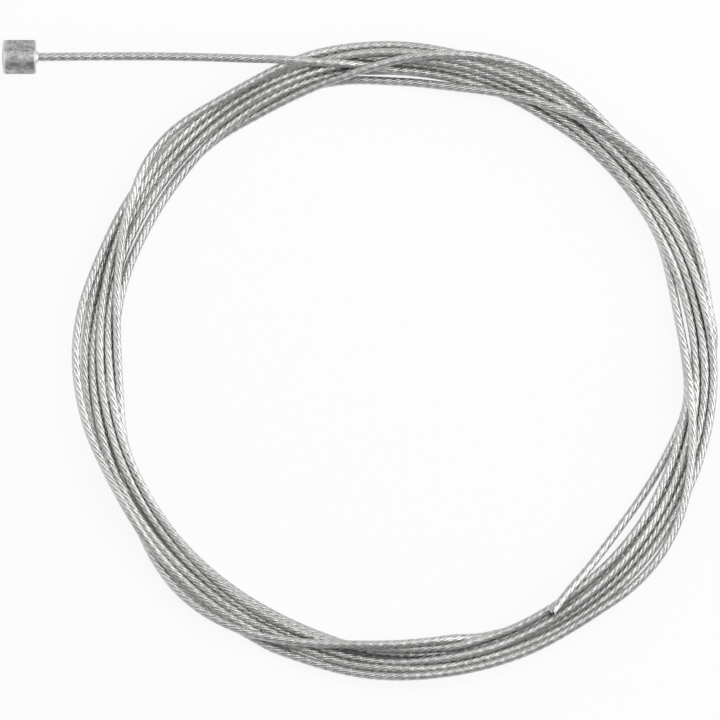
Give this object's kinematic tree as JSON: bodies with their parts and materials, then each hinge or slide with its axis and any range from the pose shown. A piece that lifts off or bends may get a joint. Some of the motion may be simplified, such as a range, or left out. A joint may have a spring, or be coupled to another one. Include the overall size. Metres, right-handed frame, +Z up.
{
  "type": "shift cable",
  "caption": "Steel strand inner cable for a gear shifter, wound by hand into a flat ring, with a cast barrel nipple on its straight lead end.",
  "frame": {"origin": "on the surface that the cable lies on, under the middle of the whole outline", "axes": "+X the way the lead leaves the nipple, +Y towards the side of the coil where the lead joins it, +Z up through the ring"},
  "size_m": [0.0924, 0.0832, 0.0044],
  "materials": {
    "cast_zinc": "dull as-cast zinc alloy",
    "steel_strand": "bare drawn steel wire, laid up left-handed"
  },
  "bodies": {
    "root": {"nipple": "cast_zinc", "cable_lead": "steel_strand", "cable_coil": "steel_strand"}
  },
  "joints": []
}
